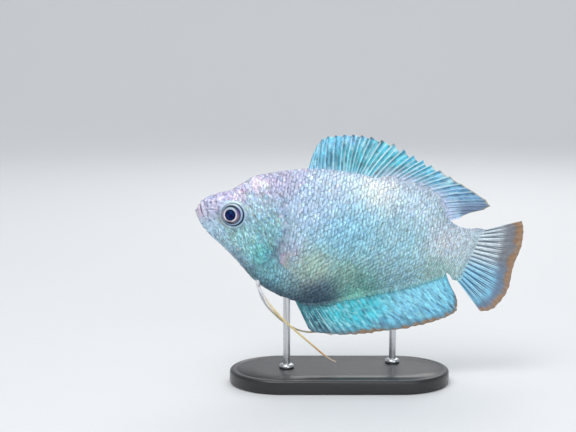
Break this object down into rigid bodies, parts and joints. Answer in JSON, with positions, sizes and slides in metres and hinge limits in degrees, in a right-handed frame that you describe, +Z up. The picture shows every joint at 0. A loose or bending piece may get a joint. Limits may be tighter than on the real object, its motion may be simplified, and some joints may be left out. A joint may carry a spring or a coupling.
{
  "type": "dwarf gourami model",
  "caption": "Life-size dwarf gourami, deep flat body with long ribbed fins and trailing thread fins, held head-up on a plain stand with rods.",
  "frame": {"origin": "middle of the stand base's underside, which rests on the surface", "axes": "+Z up, +X from the fish's head towards its tail along the base, +Y to the fish's right"},
  "size_m": [0.0746, 0.024, 0.0567],
  "materials": {
    "head_skin": "satin, painted, pale lilac to teal, scaled",
    "gill_cover_skin": "satin, painted teal, small scales",
    "body_skin": "satin, powder blue, glinting scales",
    "eye": "wet gloss, navy pupil in a pale and rosy ring",
    "fin_blue": "satin, turquoise, thin, ribbed by rays",
    "tail_fin": "satin, blue-grey with an orange-brown rim, ribbed by rays",
    "fin_clear": "clear, faintly yellow, ribbed by rays",
    "fin_thread": "satin, white to orange-yellow",
    "stand_black": "satin black, bevelled edge",
    "stand_steel": "brushed"
  },
  "bodies": {
    "root": {"head": "head_skin", "gill_cover_left": "gill_cover_skin", "gill_cover_right": "gill_cover_skin", "trunk": "body_skin", "tail_stem": "body_skin", "eye_left": "eye", "eye_right": "eye", "dorsal_fin": "fin_blue", "anal_fin": "fin_blue", "caudal_fin": "tail_fin", "pectoral_fin_left": "fin_clear", "pectoral_fin_right": "fin_clear", "pelvic_fin_left": "fin_thread", "pelvic_fin_right": "fin_thread", "stand_base": "stand_black", "stand_rod_front": "stand_steel", "stand_rod_rear": "stand_steel"}
  },
  "joints": []
}
